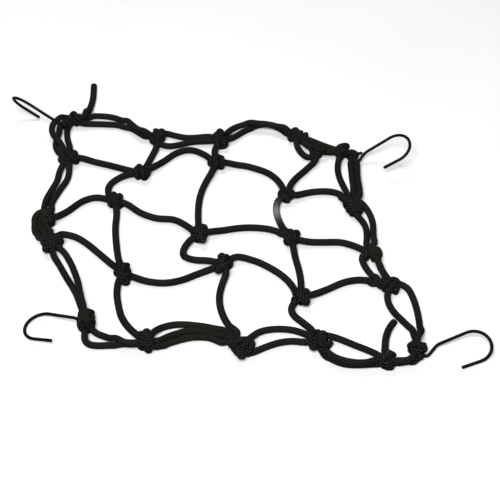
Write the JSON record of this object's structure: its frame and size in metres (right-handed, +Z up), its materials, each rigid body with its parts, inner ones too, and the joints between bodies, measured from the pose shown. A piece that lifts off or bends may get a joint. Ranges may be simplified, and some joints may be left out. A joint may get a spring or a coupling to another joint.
{
  "type": "cargo net",
  "caption": "Black elastic cord cargo net with square mesh, a doubled rim, lumpy knots and a bent wire hook at each corner, lying loose on a flat surface.",
  "frame": {"origin": "flat underside of the knot in the middle of the mesh, on the surface that the net lies on", "axes": "+X along the near rim to the right, +Y away to the far rim, +Z up from the surface"},
  "size_m": [0.4251, 0.3889, 0.034],
  "materials": {
    "black_cord": "matt braided sheath over rubber strands",
    "black_dipped_wire": "satin dipped coating on bent steel wire"
  },
  "bodies": {
    "root": {"net": "black_cord", "hook_far_left": "black_dipped_wire", "hook_far_right": "black_dipped_wire", "hook_near_left": "black_dipped_wire", "hook_near_right": "black_dipped_wire"}
  },
  "joints": []
}
